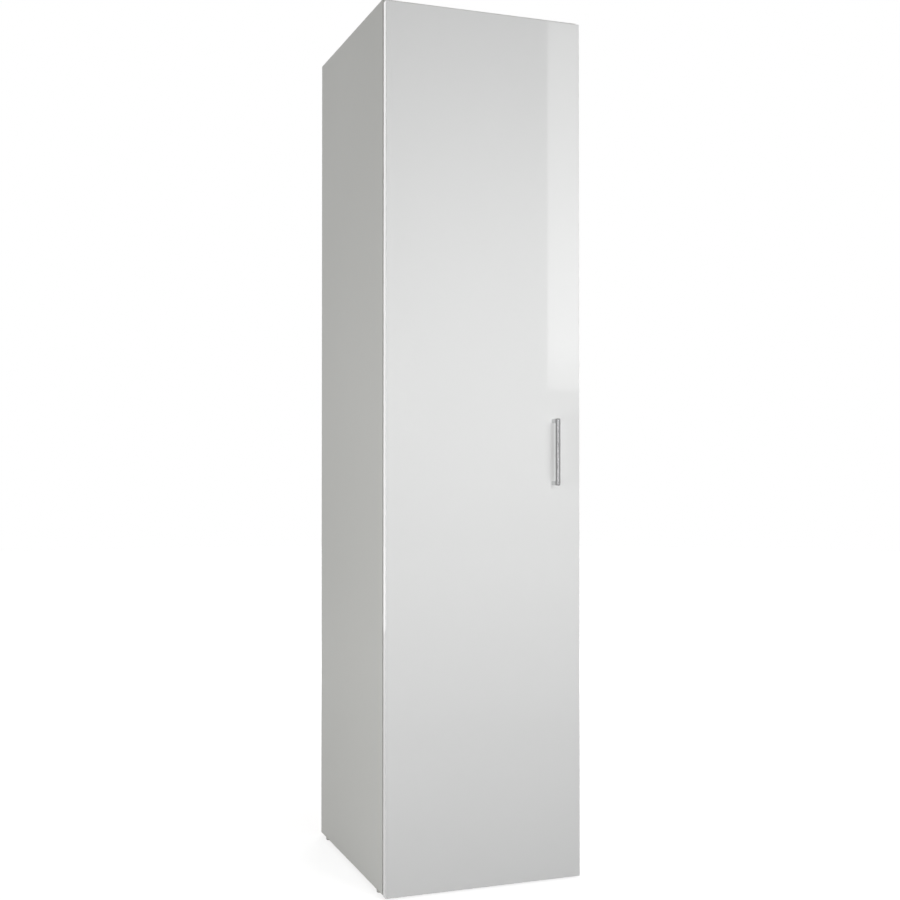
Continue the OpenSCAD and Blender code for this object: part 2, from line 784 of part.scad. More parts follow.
module handle() {
    color(chrome) difference() {
        intersection() {
            translate([handle_x + handle_w / 2, door_front - handle_out, handle_z])
                rotate([0, -90, 0]) linear_extrude(handle_w) rotate(90) mirror([0, 1]) bow_2d();
            // front edges of the bar rounded along its length
            translate([handle_x, door_front - handle_out, handle_z - handle_l / 2])
                linear_extrude(handle_l) round_front(handle_w, handle_out, handle_soft);
        }
        for (s = [-1, 1])
            bar_y([handle_x, door_front - bolt_in - 1, handle_z + s * handle_c / 2],
                bolt_d + 2 * snug, bolt_in + 2, $fn = 16);
    }
}

// screws through the door into the legs of the handle
module handle_screws() {
    color(steel) for (s = [-1, 1]) translate([handle_x, 0, handle_z + s * handle_c / 2]) {
        bar_y([0, door_front - bolt_in, 0], bolt_d, bolt_in + door_t + 0.5, $fn = 16);
        bar_y([0, door_back, 0], bolt_head, bolt_head_t);
    }
}

// soft pads on the door that meet the front edge of the right side
module door_bumpers() {
    color(plastic_c) for (z = [door_z + 40, door_z + door_h - 40])
        bar_y([carcass_w / 2 - board / 2 - 0.5, door_back, z], bumper_d, bumper_t);
}

side_panel_left();
side_panel_right();
top_panel();
bottom_panel();
plinth_board();
back_upper();
back_lower();
back_joiner();
hat_shelf();
shelf_pins();
clothes_rail();
rail_socket_left();
rail_socket_right();
rail_screws();
cam_fittings();
cam_bolts();
dowels();
plinth_dowels();
glides();
wall_bracket_left();
wall_bracket_right();
bracket_screws();
hinge_plate_1();
hinge_plate_2();
hinge_plate_3();
hinge_plate_4();
plate_screws();
hinge_arm_1();
hinge_arm_2();
hinge_arm_3();
hinge_arm_4();
arm_screws();
arm_pins();
long_link_1();
long_link_2();
long_link_3();
long_link_4();
short_link_1();
short_link_2();
short_link_3();
short_link_4();
door_panel();
hinge_cup_1();
hinge_cup_2();
hinge_cup_3();
hinge_cup_4();
cup_pins();
cup_screws();
handle();
handle_screws();
door_bumpers();
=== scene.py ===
# Single-door wardrobe: white melamine carcass, gloss lacquered door on four cup hinges, bow handle.
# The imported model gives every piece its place. Metres; X to the right, Y to the back, Z up.
import math
import bpy
import numpy as np
from mathutils import Matrix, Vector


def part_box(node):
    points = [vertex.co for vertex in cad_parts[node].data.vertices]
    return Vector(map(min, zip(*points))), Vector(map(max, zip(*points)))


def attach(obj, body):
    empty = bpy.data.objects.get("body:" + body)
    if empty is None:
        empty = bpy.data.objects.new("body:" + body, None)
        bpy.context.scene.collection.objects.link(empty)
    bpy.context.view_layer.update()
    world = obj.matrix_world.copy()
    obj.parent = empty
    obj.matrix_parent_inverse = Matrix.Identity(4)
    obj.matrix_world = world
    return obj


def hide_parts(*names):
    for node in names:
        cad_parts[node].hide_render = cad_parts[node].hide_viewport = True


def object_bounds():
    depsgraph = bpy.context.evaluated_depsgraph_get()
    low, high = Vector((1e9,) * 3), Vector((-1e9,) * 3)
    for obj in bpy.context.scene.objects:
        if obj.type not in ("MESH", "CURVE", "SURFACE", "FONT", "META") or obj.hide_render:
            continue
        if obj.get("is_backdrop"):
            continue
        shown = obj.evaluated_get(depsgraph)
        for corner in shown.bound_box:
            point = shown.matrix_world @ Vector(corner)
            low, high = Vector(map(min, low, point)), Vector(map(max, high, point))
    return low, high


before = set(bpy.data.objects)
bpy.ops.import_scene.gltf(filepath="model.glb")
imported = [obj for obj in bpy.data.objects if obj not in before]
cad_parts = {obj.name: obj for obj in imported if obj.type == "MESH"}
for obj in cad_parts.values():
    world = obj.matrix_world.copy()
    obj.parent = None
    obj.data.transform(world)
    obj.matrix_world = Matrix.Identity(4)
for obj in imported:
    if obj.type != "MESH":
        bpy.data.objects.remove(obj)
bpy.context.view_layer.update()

# Camera
# The camera stands left of the wardrobe at waist height and looks almost level to the right,
# where the perspective of the photograph puts it.
eye = (-1.0896, -2.9724, 0.9471)
turn, rise = math.radians(-20.305), math.radians(0.632)
across = (math.cos(turn), math.sin(turn), 0.0)
ahead = (-math.sin(turn) * math.cos(rise), math.cos(turn) * math.cos(rise), math.sin(rise))
above = tuple(np.cross(across, ahead))
lens = bpy.data.cameras.new("photo_camera")
# in pixels of the photograph: its width, and the focal length that its perspective gives
picture_width, focal_pixels = 900.0, 1308.3
lens.sensor_width = 36.0
lens.lens = lens.sensor_width * focal_pixels / picture_width
lens.clip_start, lens.clip_end = 0.05, 60.0
camera = bpy.data.objects.new("photo_camera", lens)
bpy.context.scene.collection.objects.link(camera)
camera.matrix_world = Matrix((
    (across[0], above[0], -ahead[0], eye[0]),
    (across[1], above[1], -ahead[1], eye[1]),
    (across[2], above[2], -ahead[2], eye[2]),
    (0, 0, 0, 1)))
bpy.context.scene.camera = camera
bpy.context.scene.view_settings.view_transform = "Standard"


# Studio
# A pale floor runs out into a white surround. The door mirrors a soft box on the right and a card on
# the left; lamps light the front, the left side, the top and the back, and a strip the handle alone.
def lay(tree, kind, feeds=None, **settings):
    """Adds one shader node. feeds gives its inputs, each a value or another node's output."""
    made = tree.nodes.new(kind)
    for key, value in settings.items():
        setattr(made, key, value)
    for key, value in (feeds or {}).items():
        if isinstance(value, bpy.types.NodeSocket):
            tree.links.new(value, made.inputs[key])
        else:
            made.inputs[key].default_value = value
    return made


def sum_of(tree, how, *terms, clamp=False):
    """One Math node: how is its operation, terms are values or outputs."""
    return lay(tree, "ShaderNodeMath", dict(enumerate(terms)), operation=how, use_clamp=clamp).outputs[0]


def between(tree, how, *terms, gives=0):
    """One Vector Math node: how is its operation, terms are vectors or outputs."""
    return lay(tree, "ShaderNodeVectorMath", dict(enumerate(terms)), operation=how).outputs[gives]


def axis_of(tree, vector, axis):
    """One part of a vector: 0 is to the right, 1 to the back, 2 up."""
    return lay(tree, "ShaderNodeSeparateXYZ", {0: vector}).outputs[axis]


def here(tree):
    """The shaded point's place on its object, in metres."""
    return lay(tree, "ShaderNodeTexCoord").outputs["Object"]


def ranged(tree, value, start=0.0, end=1.0, first=0.0, last=1.0, smooth=False):
    """first where the value is start, last where it is end, an even or smooth slope between them and
    no change beyond them. start may be the greater of the two."""
    kind = "SMOOTHSTEP" if smooth else "LINEAR"
    feeds = {0: value, 1: start, 2: end, 3: first, 4: last}
    return lay(tree, "ShaderNodeMapRange", feeds, interpolation_type=kind).outputs[0]


def noise(tree, place, scale, detail, roughness=0.5):
    """Cloudy noise from 0 to 1, with about scale clouds to the metre of place."""
    feeds = {"Vector": place, "Scale": scale, "Detail": detail, "Roughness": roughness}
    return lay(tree, "ShaderNodeTexNoise", feeds).outputs[0]


def seen_directly(tree):
    """1 on camera, mirror and see-through rays, 0 on the light that falls on things."""
    path = lay(tree, "ShaderNodeLightPath").outputs
    first = sum_of(tree, "MAXIMUM", path["Is Camera Ray"], path["Is Glossy Ray"])
    return sum_of(tree, "MAXIMUM", first, path["Is Transmission Ray"])


surround = bpy.data.worlds.new("surround")
bpy.context.scene.world = surround
surround.use_nodes = True
tree = surround.node_tree
tree.nodes.clear()
white = (1, 1, 1, 1)
# the surround looks white, also in mirrors, and lights things with 0.28 of that
strength = ranged(tree, seen_directly(tree), first=0.28, last=1.0)
sky = lay(tree, "ShaderNodeBackground", {0: white, 1: strength})
lay(tree, "ShaderNodeOutputWorld", {0: sky.outputs[0]})

# the floor is a disc of rings, and it sends light of its own that grows to white far from the part
sides = 96
ring = np.linspace(0, 2 * np.pi, sides + 1)[:-1]
rims = np.array([0.6, 1.2, 2.0, 3.5, 6.0, 12.0])
spread = rims[:, None, None] * np.stack([np.cos(ring), np.sin(ring)], -1)
floor_points = np.concatenate([[[0, 0]], spread.reshape(-1, 2)])
floor_points = np.column_stack([floor_points, np.zeros(len(floor_points))])
faces = [(0, 1 + i, 1 + (i + 1) % sides) for i in range(sides)]
for r in range(len(rims) - 1):
    a, b = 1 + r * sides, 1 + (r + 1) * sides
    faces += [(a + i, b + i, b + (i + 1) % sides, a + (i + 1) % sides) for i in range(sides)]
floor_mesh = bpy.data.meshes.new("studio_floor")
floor_mesh.from_pydata(floor_points.tolist(), [], faces)
studio_floor = bpy.data.objects.new("studio_floor", floor_mesh)
bpy.context.scene.collection.objects.link(studio_floor)
pale = bpy.data.materials.new("pale_floor")
pale.use_nodes = True
tree = pale.node_tree
tree.nodes.clear()
place = here(tree)
reach = between(tree, "LENGTH", place, gives="Value")
far = ranged(tree, reach, 0.7, 3.2, smooth=True)
tint = ranged(tree, noise(tree, place, 60.0, 3.0), first=0.38, last=0.40)
shade = lay(tree, "ShaderNodeBsdfDiffuse", {0: tint})
lift = sum_of(tree, "MULTIPLY", ranged(tree, far, first=0.80, last=1.0), seen_directly(tree))
glow = lay(tree, "ShaderNodeEmission", {0: white, 1: lift})
both = lay(tree, "ShaderNodeAddShader", {0: shade.outputs[0], 1: glow.outputs[0]})
lay(tree, "ShaderNodeOutputMaterial", {0: both.outputs[0]})
studio_floor.data.materials.append(pale)
studio_floor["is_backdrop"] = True


def soft_lamp(name, place, target, size, watts, ends=None, mirrored=True):
    """A rectangular lamp at place, turned to target. size is its width and height in metres. ends
    gives how much of its light its lower and upper end send, with an even slope up to slope_end and a
    dimmer foot up to foot_end, both as shares of the height. mirrored tells if gloss shows it."""
    lamp = bpy.data.lights.new(name, "AREA")
    lamp.shape, lamp.size, lamp.size_y, lamp.energy = "RECTANGLE", size[0], size[1], watts
    holder = bpy.data.objects.new(name, lamp)
    bpy.context.scene.collection.objects.link(holder)
    back = np.array(place, float) - np.array(target, float)
    back /= np.linalg.norm(back)
    side = np.cross((0, 0, 1), back)
    side /= np.linalg.norm(side)
    up = np.cross(back, side)
    axes = np.column_stack([side, up, back, place])
    holder.matrix_world = Matrix(np.vstack([axes, [0, 0, 0, 1]]).tolist())
    holder.visible_camera = False
    holder.visible_glossy = mirrored
    if ends:
        lamp.use_nodes = True
        tree = lamp.node_tree
        tree.nodes.clear()
        slope_end, foot_end, foot_light = 0.55, 0.13, 0.5
        level = axis_of(tree, lay(tree, "ShaderNodeNewGeometry").outputs["Parametric"], 1)
        slope = ranged(tree, level, 0.0, slope_end, ends[0], ends[1])
        foot = ranged(tree, level, 0.0, foot_end, foot_light, 1.0, smooth=True)
        shine = lay(tree, "ShaderNodeEmission", {0: white, 1: sum_of(tree, "MULTIPLY", slope, foot)})
        lay(tree, "ShaderNodeOutputLight", {0: shine.outputs[0]})
    return holder


# the small lamp in front throws the handle's shadow, and the fill beside it lightens that shadow
front_aim = (0.05, 0.0, 1.09)
soft_lamp("front_lamp", (0.24, -1.75, 1.20), front_aim, size=(0.25, 0.4), watts=6.2, mirrored=False)
front_fill = soft_lamp("front_fill", (0.20, -1.75, 1.20), front_aim, size=(0.9, 0.9), watts=7.4,
                       mirrored=False)
right_box = soft_lamp("right_box", (1.809, -3.0, 2.14), (1.809, 0.0, 2.14), size=(0.8, 1.70), watts=4.9,
                      ends=(1.28, 0.93))
soft_lamp("left_card", (-1.6, 3.42, 1.85), (0.0, 3.42, 1.85), size=(2.05, 3.7), watts=17.0)
soft_lamp("left_lamp", (-1.8, -1.0, 0.6), (-0.234, -0.15, 0.7), size=(0.9, 1.0), watts=8.9,
          mirrored=False)
handle_strip = soft_lamp("handle_strip", (-1.9, -2.0, 1.0), (0.167, -0.28, 1.0), size=(0.7, 1.2),
                         watts=30.0)
soft_lamp("top_lamp", (0.0, 0.25, 3.4), (0.0, 0.05, 1.97), size=(0.4, 0.4), watts=8.0, mirrored=False)
soft_lamp("back_lamp", (1.3, 3.4, 2.0), (0.1, 0.2, 1.0), size=(1.4, 1.4), watts=45.0, mirrored=False)


# Side panels and inner boards
# Sides, top, bottom, plinth board and hat shelf are 16 mm chipboard faced with white melamine.
# Their seen edges carry a thin band; bores, grooves and hidden edges show the bare core.
def effect(name, takes, gives):
    """A shader node group. takes is {name: (kind, default)}, gives is {name: kind}."""
    group = bpy.data.node_groups.new(name, "ShaderNodeTree")
    for key, (kind, value) in takes.items():
        socket = group.interface.new_socket(name=key, in_out="INPUT", socket_type="NodeSocket" + kind)
        socket.default_value = value
    for key, kind in gives.items():
        group.interface.new_socket(name=key, in_out="OUTPUT", socket_type="NodeSocket" + kind)
    return group, lay(group, "NodeGroupInput").outputs, lay(group, "NodeGroupOutput").inputs


def use(tree, group, feeds):
    """Places an effect in a material with its own values."""
    made = tree.nodes.new("ShaderNodeGroup")
    made.node_tree = group
    for key, value in feeds.items():
        if isinstance(value, bpy.types.NodeSocket):
            tree.links.new(value, made.inputs[key])
        else:
            made.inputs[key].default_value = value
    return made.outputs


def shared(tree, share, first, second):
    """Two values mixed by share."""
    return lay(tree, "ShaderNodeMix", {0: share, 2: first, 3: second}).outputs[0]


def scaled(tree, vector, gain):
    """A vector or colour times a value."""
    return lay(tree, "ShaderNodeVectorMath", {0: vector, "Scale": gain}, operation="SCALE").outputs[0]


def mixed(tree, share, first, second, how="MIX"):
    """Two colours mixed by share."""
    made = lay(tree, "ShaderNodeMix", {0: share, 6: first, 7: second}, data_type="RGBA", blend_type=how)
    return made.outputs[2]


# where a point lies on a board: in from its corners along X, Y and Z. The least of the three tells
# the skin from the core, the middle one is the distance to the board's nearest edge. The seam is the
# glue line of the edge band. Bare sides show the core.
board_place, got, out = effect(
    "board_place",
    {"Place": ("Vector", (0, 0, 0)), "Low": ("Vector", (0, 0, 0)), "High": ("Vector", (1, 1, 1)),
     "Bare Low": ("Vector", (0, 0, 0)), "Bare High": ("Vector", (0, 0, 0))},
    {"Core": "Float", "Edge": "Float", "Seam": "Float"})
tree = board_place
from_low = between(tree, "SUBTRACT", got["Place"], got["Low"])
from_high = between(tree, "SUBTRACT", got["High"], got["Place"])
least = between(tree, "MINIMUM", from_low, from_high)
x, y, z = lay(tree, "ShaderNodeSeparateXYZ", {0: least}).outputs
depth = sum_of(tree, "MINIMUM", sum_of(tree, "MINIMUM", x, y), z)
edge = sum_of(tree, "MAXIMUM", sum_of(tree, "MINIMUM", x, y),
              sum_of(tree, "MINIMUM", sum_of(tree, "MAXIMUM", x, y), z))
bare = []
for away, flags in ((from_low, "Bare Low"), (from_high, "Bare High")):
    # 1 up to 0.3 mm from the side and 0 from 0.35 mm on
    steep = between(tree, "MULTIPLY_ADD", away, (-20000.0,) * 3, (7.0,) * 3)
    held = between(tree, "MAXIMUM", between(tree, "MINIMUM", steep, (1.0,) * 3), (0.0,) * 3)
    bare.append(between(tree, "DOT_PRODUCT", held, got[flags], gives="Value"))
skin_thick, band_thick, seam_half = 0.00035, 0.0009, 0.00012
inside = sum_of(tree, "GREATER_THAN", depth, skin_thick)
core = sum_of(tree, "MAXIMUM", inside, sum_of(tree, "ADD", bare[0], bare[1], clamp=True))
gap = sum_of(tree, "ABSOLUTE", sum_of(tree, "SUBTRACT", edge, band_thick))
seam = sum_of(tree, "LESS_THAN", gap, seam_half)
for key, value in (("Core", core), ("Edge", edge), ("Seam", seam)):
    tree.links.new(value, out[key])

# chipboard: flat chips of several browns, seen as cells of uneven tone with dark grains between
chip_core, got, out = effect(
    "chip_core", {"Place": ("Vector", (0, 0, 0)), "Scale": ("Float", 420.0)},
    {"Colour": "Color", "Height": "Float"})
tree = chip_core
cells = lay(tree, "ShaderNodeTexVoronoi", {"Vector": got["Place"], "Scale": got["Scale"], "Randomness": 1.0})
tone = lay(tree, "ShaderNodeSeparateColor", {0: cells.outputs["Color"]}).outputs[0]
fibre = noise(tree, got["Place"], 1400.0, 4.0)
dark_chip, light_chip, dark_grain = (0.36, 0.235, 0.125, 1), (0.66, 0.50, 0.31, 1), (0.17, 0.10, 0.05, 1)
grains = ranged(tree, fibre, 0.36, 0.5, 0.75, 0.0)
chips = mixed(tree, tone, dark_chip, light_chip)
tree.links.new(mixed(tree, grains, chips, dark_grain), out["Colour"])
tree.links.new(sum_of(tree, "MULTIPLY_ADD", fibre, 0.5, tone), out["Height"])

# a printed, pressed or painted skin: tone wanders over hands' widths, a fine grain lies on it, the
# edges are rubbed greyer and duller, and dust lies where the skin looks up
even_skin, got, out = effect(
    "even_skin",
    {"Place": ("Vector", (0, 0, 0)), "Colour": ("Color", (0.8, 0.8, 0.8, 1)), "Wander": ("Float", 0.02),
     "Grain Scale": ("Float", 900.0), "Roughness": ("Float", 0.4), "Uneven": ("Float", 0.08),
     "Edge": ("Float", 1.0), "Rub": ("Float", 0.3), "Rub Width": ("Float", 0.0012),
     "Upward": ("Float", 0.0), "Dust": ("Float", 0.15)},
    {"Colour": "Color", "Roughness": "Float", "Height": "Float"})
tree = even_skin
rubbed_grey, dust_grey = (0.52, 0.51, 0.48, 1), (0.55, 0.54, 0.51, 1)
broad = noise(tree, got["Place"], 2.3, 2.0)
middle = noise(tree, got["Place"], 23.0, 3.0)
grain = noise(tree, got["Place"], got["Grain Scale"], 2.0)
swing = sum_of(tree, "SUBTRACT", sum_of(tree, "ADD", broad, sum_of(tree, "MULTIPLY", middle, 0.4)), 0.7)
gain = sum_of(tree, "MULTIPLY_ADD", swing, sum_of(tree, "MULTIPLY", got["Wander"], 4.0), 1.0)
gain = sum_of(tree, "MULTIPLY_ADD", sum_of(tree, "SUBTRACT", grain, 0.5), got["Wander"], gain)
toned = scaled(tree, got["Colour"], gain)
nearness = ranged(tree, got["Edge"], got["Rub Width"], 0.0)
patches = ranged(tree, middle, 0.42, 0.62)
rubbed = sum_of(tree, "MULTIPLY", sum_of(tree, "MULTIPLY", nearness, patches), got["Rub"])
toned = mixed(tree, rubbed, toned, rubbed_grey)
settled = sum_of(tree, "MULTIPLY", ranged(tree, got["Upward"], 0.75, 1.0), got["Dust"])
settled = sum_of(tree, "MULTIPLY", settled, ranged(tree, grain, 0.3, 0.7, 0.5, 1.0))
tree.links.new(mixed(tree, settled, toned, dust_grey), out["Colour"])
rough = sum_of(tree, "MULTIPLY_ADD", swing, got["Uneven"], got["Roughness"])
rough = sum_of(tree, "MULTIPLY_ADD", rubbed, 0.25, rough)
tree.links.new(sum_of(tree, "MULTIPLY_ADD", settled, 0.5, rough, clamp=True), out["Roughness"])
tree.links.new(grain, out["Height"])


def surface(name, **fixed):
    """A material with one Principled shader; fixed sets its even values by their names."""
    material = bpy.data.materials.new(name)
    material.use_nodes = True
    tree = material.node_tree
    tree.nodes.clear()
    shader = tree.nodes.new("ShaderNodeBsdfPrincipled")
    for key, value in fixed.items():
        shader.inputs[key.replace("_", " ")].default_value = value
    lay(tree, "ShaderNodeOutputMaterial", {0: shader.outputs[0]})
    return material, tree, shader


def feed(tree, shader, colour, roughness, height, strength, deep):
    """Feeds the shader its colour and roughness, and a bump of height that is deep metres deep."""
    bump = lay(tree, "ShaderNodeBump", {"Height": height, "Strength": strength, "Distance": deep})
    tree.links.new(colour, shader.inputs["Base Color"])
    tree.links.new(roughness, shader.inputs["Roughness"])
    tree.links.new(bump.outputs[0], shader.inputs["Normal"])


def upward(tree):
    """How far the surface looks up, from -1 to 1."""
    return axis_of(tree, lay(tree, "ShaderNodeNewGeometry").outputs["Normal"], 2)


def dress(material, *nodes):
    """Gives CAD nodes this material on every slot."""
    for name in nodes:
        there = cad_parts[name]
        if not there.material_slots:
            there.data.materials.append(material)
        for held in there.material_slots:
            held.material = material


def melamine(name, node, colour, bare_low, bare_high):
    """White melamine on a board that fills the box of its node. bare_low and bare_high mark with 1
    the low and high sides along X, Y and Z that carry no edge band."""
    low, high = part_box(node)
    material, tree, shader = surface(name, IOR=1.5, Specular_IOR_Level=0.25)
    place = here(tree)
    spot = use(tree, board_place, {"Place": place, "Low": low, "High": high,
                                   "Bare Low": bare_low, "Bare High": bare_high})
    skin = use(tree, even_skin, {"Place": place, "Colour": colour, "Wander": 0.012, "Grain Scale": 1100.0,
                                 "Roughness": 0.42, "Uneven": 0.10, "Edge": spot["Edge"], "Rub": 0.35,
                                 "Upward": upward(tree), "Dust": 0.12})
    chips = use(tree, chip_core, {"Place": place})
    glue_tone = (0.5, 0.48, 0.43, 1)
    lined = mixed(tree, sum_of(tree, "MULTIPLY", spot["Seam"], 0.35), skin["Colour"], glue_tone)
    colour = mixed(tree, spot["Core"], lined, chips["Colour"])
    rough = shared(tree, spot["Core"], skin["Roughness"], 0.85)
    relief = shared(tree, spot["Core"], sum_of(tree, "MULTIPLY", skin["Height"], 0.12), chips["Height"])
    feed(tree, shader, colour, rough, relief, strength=0.5, deep=0.0004)
    dress(material, node)


side_white = (0.785, 0.788, 0.75, 1)
inner_white = (0.82, 0.82, 0.81, 1)
melamine("melamine_side_left", "side_panel_left", side_white, (0, 0, 1), (0, 1, 0))
melamine("melamine_side_right", "side_panel_right", side_white, (0, 0, 1), (0, 1, 0))
melamine("melamine_top", "top_panel", inner_white, (1, 0, 0), (1, 1, 0))
melamine("melamine_bottom", "bottom_panel", inner_white, (1, 0, 0), (1, 1, 0))
melamine("melamine_plinth", "plinth_board", inner_white, (1, 0, 1), (1, 0, 1))
melamine("melamine_shelf", "hat_shelf", inner_white, (0, 0, 0), (0, 1, 0))


# Back
# Two sheets of 3 mm hardboard in a groove, white on the inside and bare with its screen print
# behind, joined at half height by a white plastic strip of H section.
def hardboard(name, node):
    """Painted on the low side in Y, bare brown fibre with the print of a wire screen behind."""
    paint_white, paint_thick = (0.80, 0.80, 0.785, 1), 0.0003
    dark_fibre, light_fibre = (0.20, 0.115, 0.055, 1), (0.44, 0.29, 0.165, 1)
    cloudy_brown = (0.36, 0.235, 0.13, 1)
    material, tree, shader = surface(name, IOR=1.48)
    place = here(tree)
    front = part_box(node)[0][1]
    behind = sum_of(tree, "GREATER_THAN", axis_of(tree, place, 1), front + paint_thick)
    paint = use(tree, even_skin, {"Place": place, "Colour": paint_white, "Wander": 0.015,
                                  "Grain Scale": 500.0, "Roughness": 0.55})
    fibre = noise(tree, place, 700.0, 6.0, 0.7)
    cloud = noise(tree, place, 9.0, 4.0)
    brown = mixed(tree, fibre, dark_fibre, light_fibre)
    brown = mixed(tree, sum_of(tree, "MULTIPLY", cloud, 0.5), brown, cloudy_brown)
    tilt = lay(tree, "ShaderNodeMapping", {"Vector": place, "Rotation": (0, 0.785, 0)}).outputs[0]
    weave = [lay(tree, "ShaderNodeTexWave", {"Vector": tilt, "Scale": 190.0, "Distortion": 0.6},
                 bands_direction=way).outputs["Fac"] for way in ("X", "Z")]
    colour = mixed(tree, behind, paint["Colour"], brown)
    rough = shared(tree, behind, paint["Roughness"], 0.8)
    screen_print = sum_of(tree, "MULTIPLY_ADD", fibre, 0.5, sum_of(tree, "MAXIMUM", *weave))
    relief = shared(tree, behind, sum_of(tree, "MULTIPLY", paint["Height"], 0.2), screen_print)
    feed(tree, shader, colour, rough, relief, strength=0.5, deep=0.0003)
    dress(material, node)


hardboard("hardboard_upper", "back_upper")
hardboard("hardboard_lower", "back_lower")


def moulded(name, colour, roughness, *nodes):
    """Injection moulded plastic: an even tone with the fine bite of the eroded mould."""
    material, tree, shader = surface(name, IOR=1.5)
    skin = use(tree, even_skin, {"Place": here(tree), "Colour": colour, "Wander": 0.02, "Rub": 0.0,
                                 "Grain Scale": 2600.0, "Roughness": roughness, "Uneven": 0.12})
    feed(tree, shader, skin["Colour"], skin["Roughness"], skin["Height"], strength=0.25, deep=0.0002)
    dress(material, *nodes)
    return material


moulded("joiner_plastic", (0.80, 0.80, 0.78, 1), 0.45, "back_joiner")

# Metal fittings
# Shelf pins, oval rail and its sockets, cams and bolts, wall brackets: drawn, cast or pressed
# metal, plated. Each finish shows the marks of how it was made.
metal_skin, got, out = effect(
    "metal_skin",
    {"Place": ("Vector", (0, 0, 0)), "Colour": ("Color", (0.7, 0.7, 0.7, 1)), "Roughness": ("Float", 0.25),
     "Marks": ("Vector", (60.0, 60.0, 60.0)), "Mark Depth": ("Float", 0.5), "Cloud": ("Float", 0.12),
     "Spots": ("Float", 0.1)},
    {"Colour": "Color", "Roughness": "Float", "Height": "Float"})
tree = metal_skin
pit_grey = (0.18, 0.17, 0.16, 1)
drawn = between(tree, "MULTIPLY", got["Place"], got["Marks"])
streaks = noise(tree, drawn, 10.0, 5.0, 0.6)
haze = noise(tree, got["Place"], 55.0, 3.0)
pits = lay(tree, "ShaderNodeTexVoronoi", {"Vector": got["Place"], "Scale": 650.0}).outputs["Distance"]
pits = ranged(tree, pits, 0.10, 0.22, 1.0, 0.0)
pits = sum_of(tree, "MULTIPLY", pits, got["Spots"])
gain = sum_of(tree, "MULTIPLY_ADD", sum_of(tree, "SUBTRACT", streaks, 0.5),
              sum_of(tree, "MULTIPLY", got["Mark Depth"], 0.35), 1.0)
gain = sum_of(tree, "MULTIPLY_ADD", sum_of(tree, "SUBTRACT", haze, 0.5), got["Cloud"], gain)
toned = scaled(tree, got["Colour"], gain)
tree.links.new(mixed(tree, sum_of(tree, "MULTIPLY", pits, 0.6), toned, pit_grey), out["Colour"])
rough = sum_of(tree, "MULTIPLY_ADD", sum_of(tree, "SUBTRACT", haze, 0.5), got["Cloud"], got["Roughness"])
rough = sum_of(tree, "MULTIPLY_ADD", sum_of(tree, "SUBTRACT", streaks, 0.5),
               sum_of(tree, "MULTIPLY", got["Mark Depth"], 0.2), rough)
tree.links.new(sum_of(tree, "ADD", rough, pits, clamp=True), out["Roughness"])
height = sum_of(tree, "MULTIPLY_ADD", streaks, got["Mark Depth"], sum_of(tree, "MULTIPLY", pits, -0.6))
tree.links.new(height, out["Height"])


def metal(name, colour, roughness, *nodes, marks=(60, 60, 60), depth=0.4, cloud=0.1, spots=0.1):
    """Bare or plated metal with the marks of drawing, rolling or casting. marks tells how fine they
    are along X, Y and Z, so they run along the axis of its smallest value."""
    material, tree, shader = surface(name, Metallic=1.0)
    skin = use(tree, metal_skin, {"Place": here(tree), "Colour": colour, "Roughness": roughness,
                                  "Marks": marks, "Mark Depth": depth, "Cloud": cloud, "Spots": spots})
    feed(tree, shader, skin["Colour"], skin["Roughness"], skin["Height"], strength=0.6, deep=0.00004)
    dress(material, *nodes)
    return material


metal("pin_zinc", (0.60, 0.61, 0.62, 1), 0.32, "shelf_pins", "arm_pins", "cup_pins", marks=(40, 40, 40))
metal("rail_chrome", (0.70, 0.71, 0.72, 1), 0.10, "clothes_rail", marks=(2, 160, 160), depth=0.3, cloud=0.05)
metal("socket_chrome", (0.66, 0.67, 0.69, 1), 0.18, "rail_socket_left", "rail_socket_right", spots=0.15)
metal("cam_zinc", (0.48, 0.48, 0.49, 1), 0.45, "cam_fittings", depth=0.7, cloud=0.2, spots=0.5)
zinc = metal("screw_zinc", (0.62, 0.63, 0.62, 1), 0.28, "cam_bolts", "rail_screws", "bracket_screws",
             "plate_screws", "arm_screws", "cup_screws", "handle_screws")
metal("bracket_zinc", (0.58, 0.59, 0.60, 1), 0.36, "wall_bracket_left", "wall_bracket_right",
      marks=(90, 8, 8), spots=0.3)


def piece(name, points, faces, material, body, slot, *nodes, sharp=35.0):
    """A new mesh in the place of CAD nodes. Its edges stay sharp where faces meet at a steeper angle."""
    mesh = bpy.data.meshes.new(name)
    mesh.from_pydata(np.asarray(points, float).tolist(), [], faces)
    mesh.polygons.foreach_set("use_smooth", np.ones(len(mesh.polygons), bool))
    mesh.set_sharp_from_angle(angle=math.radians(sharp))
    mesh.materials.append(material)
    made = bpy.data.objects.new(name, mesh)
    bpy.context.scene.collection.objects.link(made)
    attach(made, body)
    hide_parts(*nodes)
    return made


def tube_faces(rings, sides):
    """Quads between neighbouring rings of points, and a fan to one point at each end. The points
    are the first end, the rings and the last end."""
    near = 1 + np.arange(sides)
    after = 1 + (np.arange(sides) + 1) % sides
    faces = [(0, b, a) for a, b in zip(near, after)]
    for r in range(rings - 1):
        lower, upper = r * sides, (r + 1) * sides
        faces += [(a + lower, b + lower, b + upper, a + upper) for a, b in zip(near, after)]
    end, last = (rings - 1) * sides, rings * sides + 1
    faces += [(a + end, b + end, last) for a, b in zip(near, after)]
    return [tuple(int(i) for i in face) for face in faces]


